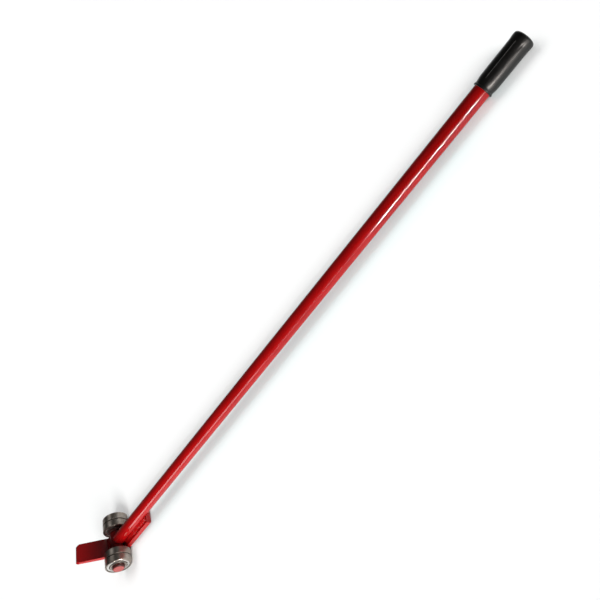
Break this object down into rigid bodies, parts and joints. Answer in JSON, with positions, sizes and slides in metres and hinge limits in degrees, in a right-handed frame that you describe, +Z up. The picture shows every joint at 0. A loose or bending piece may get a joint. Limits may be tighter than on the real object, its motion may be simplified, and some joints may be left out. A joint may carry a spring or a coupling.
{
  "type": "wheeled pry bar",
  "caption": "Wheeled lever bar: long tube handle with rubber grip, bent flat toe plate and ball-bearing rollers on a cross axle.",
  "frame": {"origin": "on the floor that the tool lies on, midway along its length and midway between its rollers", "axes": "+X along the handle from the toe to the grip, +Y to the tool's left along the axle, +Z up from the floor"},
  "size_m": [1.2328, 0.119, 0.0921],
  "materials": {
    "red_paint": "glossy red enamel over welded steel",
    "bearing_steel": "ground bearing steel",
    "shield_steel": "pressed sheet steel, satin",
    "ball_steel": "polished",
    "cage_steel": "pressed sheet steel, dull",
    "grip_rubber": "satin moulded black rubber"
  },
  "bodies": {
    "frame": {"axle": "red_paint", "foot_plate": "red_paint", "grip": "grip_rubber", "left_inboard_inner_ring": "bearing_steel", "left_outboard_inner_ring": "bearing_steel", "left_spacer": "red_paint", "left_tube_weld": "red_paint", "right_inboard_inner_ring": "bearing_steel", "right_outboard_inner_ring": "bearing_steel", "right_spacer": "red_paint", "right_tube_weld": "red_paint", "toe_weld": "red_paint", "tube": "red_paint", "tube_end_weld": "red_paint"},
    "left_inboard_roller": {"left_inboard_outer_ring": "bearing_steel", "left_inboard_shield_in": "shield_steel", "left_inboard_shield_out": "shield_steel"},
    "left_inboard_ball_cage": {"left_inboard_balls": "ball_steel", "left_inboard_cage_half_in": "cage_steel", "left_inboard_cage_half_out": "cage_steel", "left_inboard_cage_rivets": "cage_steel"},
    "left_outboard_roller": {"left_outboard_outer_ring": "bearing_steel", "left_outboard_shield_in": "shield_steel", "left_outboard_shield_out": "shield_steel"},
    "left_outboard_ball_cage": {"left_outboard_balls": "ball_steel", "left_outboard_cage_half_in": "cage_steel", "left_outboard_cage_half_out": "cage_steel", "left_outboard_cage_rivets": "cage_steel"},
    "right_inboard_roller": {"right_inboard_outer_ring": "bearing_steel", "right_inboard_shield_in": "shield_steel", "right_inboard_shield_out": "shield_steel"},
    "right_inboard_ball_cage": {"right_inboard_balls": "ball_steel", "right_inboard_cage_half_in": "cage_steel", "right_inboard_cage_half_out": "cage_steel", "right_inboard_cage_rivets": "cage_steel"},
    "right_outboard_roller": {"right_outboard_outer_ring": "bearing_steel", "right_outboard_shield_in": "shield_steel", "right_outboard_shield_out": "shield_steel"},
    "right_outboard_ball_cage": {"right_outboard_balls": "ball_steel", "right_outboard_cage_half_in": "cage_steel", "right_outboard_cage_half_out": "cage_steel", "right_outboard_cage_rivets": "cage_steel"}
  },
  "joints": [
    {"name": "left_inboard_roll", "type": "hinge", "parent": "frame", "child": "left_inboard_roller", "pos_m": [-0.56115, 0.031, 0.026], "axis": [0, 1, 0], "continuous": true},
    {"name": "left_inboard_cage_roll", "type": "hinge", "parent": "frame", "child": "left_inboard_ball_cage", "pos_m": [-0.56115, 0.031, 0.026], "axis": [0, 1, 0], "continuous": true},
    {"name": "left_outboard_roll", "type": "hinge", "parent": "frame", "child": "left_outboard_roller", "pos_m": [-0.56115, 0.046, 0.026], "axis": [0, 1, 0], "continuous": true},
    {"name": "left_outboard_cage_roll", "type": "hinge", "parent": "frame", "child": "left_outboard_ball_cage", "pos_m": [-0.56115, 0.046, 0.026], "axis": [0, 1, 0], "continuous": true},
    {"name": "right_inboard_roll", "type": "hinge", "parent": "frame", "child": "right_inboard_roller", "pos_m": [-0.56115, -0.031, 0.026], "axis": [0, 1, 0], "continuous": true},
    {"name": "right_inboard_cage_roll", "type": "hinge", "parent": "frame", "child": "right_inboard_ball_cage", "pos_m": [-0.56115, -0.031, 0.026], "axis": [0, 1, 0], "continuous": true},
    {"name": "right_outboard_roll", "type": "hinge", "parent": "frame", "child": "right_outboard_roller", "pos_m": [-0.56115, -0.046, 0.026], "axis": [0, 1, 0], "continuous": true},
    {"name": "right_outboard_cage_roll", "type": "hinge", "parent": "frame", "child": "right_outboard_ball_cage", "pos_m": [-0.56115, -0.046, 0.026], "axis": [0, 1, 0], "continuous": true}
  ],
  "couplings": [
    {"joint": "left_inboard_cage_roll", "follows": "left_inboard_roll", "ratio": 0.60179},
    {"joint": "left_outboard_cage_roll", "follows": "left_outboard_roll", "ratio": 0.60179},
    {"joint": "right_inboard_cage_roll", "follows": "right_inboard_roll", "ratio": 0.60179},
    {"joint": "right_outboard_cage_roll", "follows": "right_outboard_roll", "ratio": 0.60179}
  ]
}
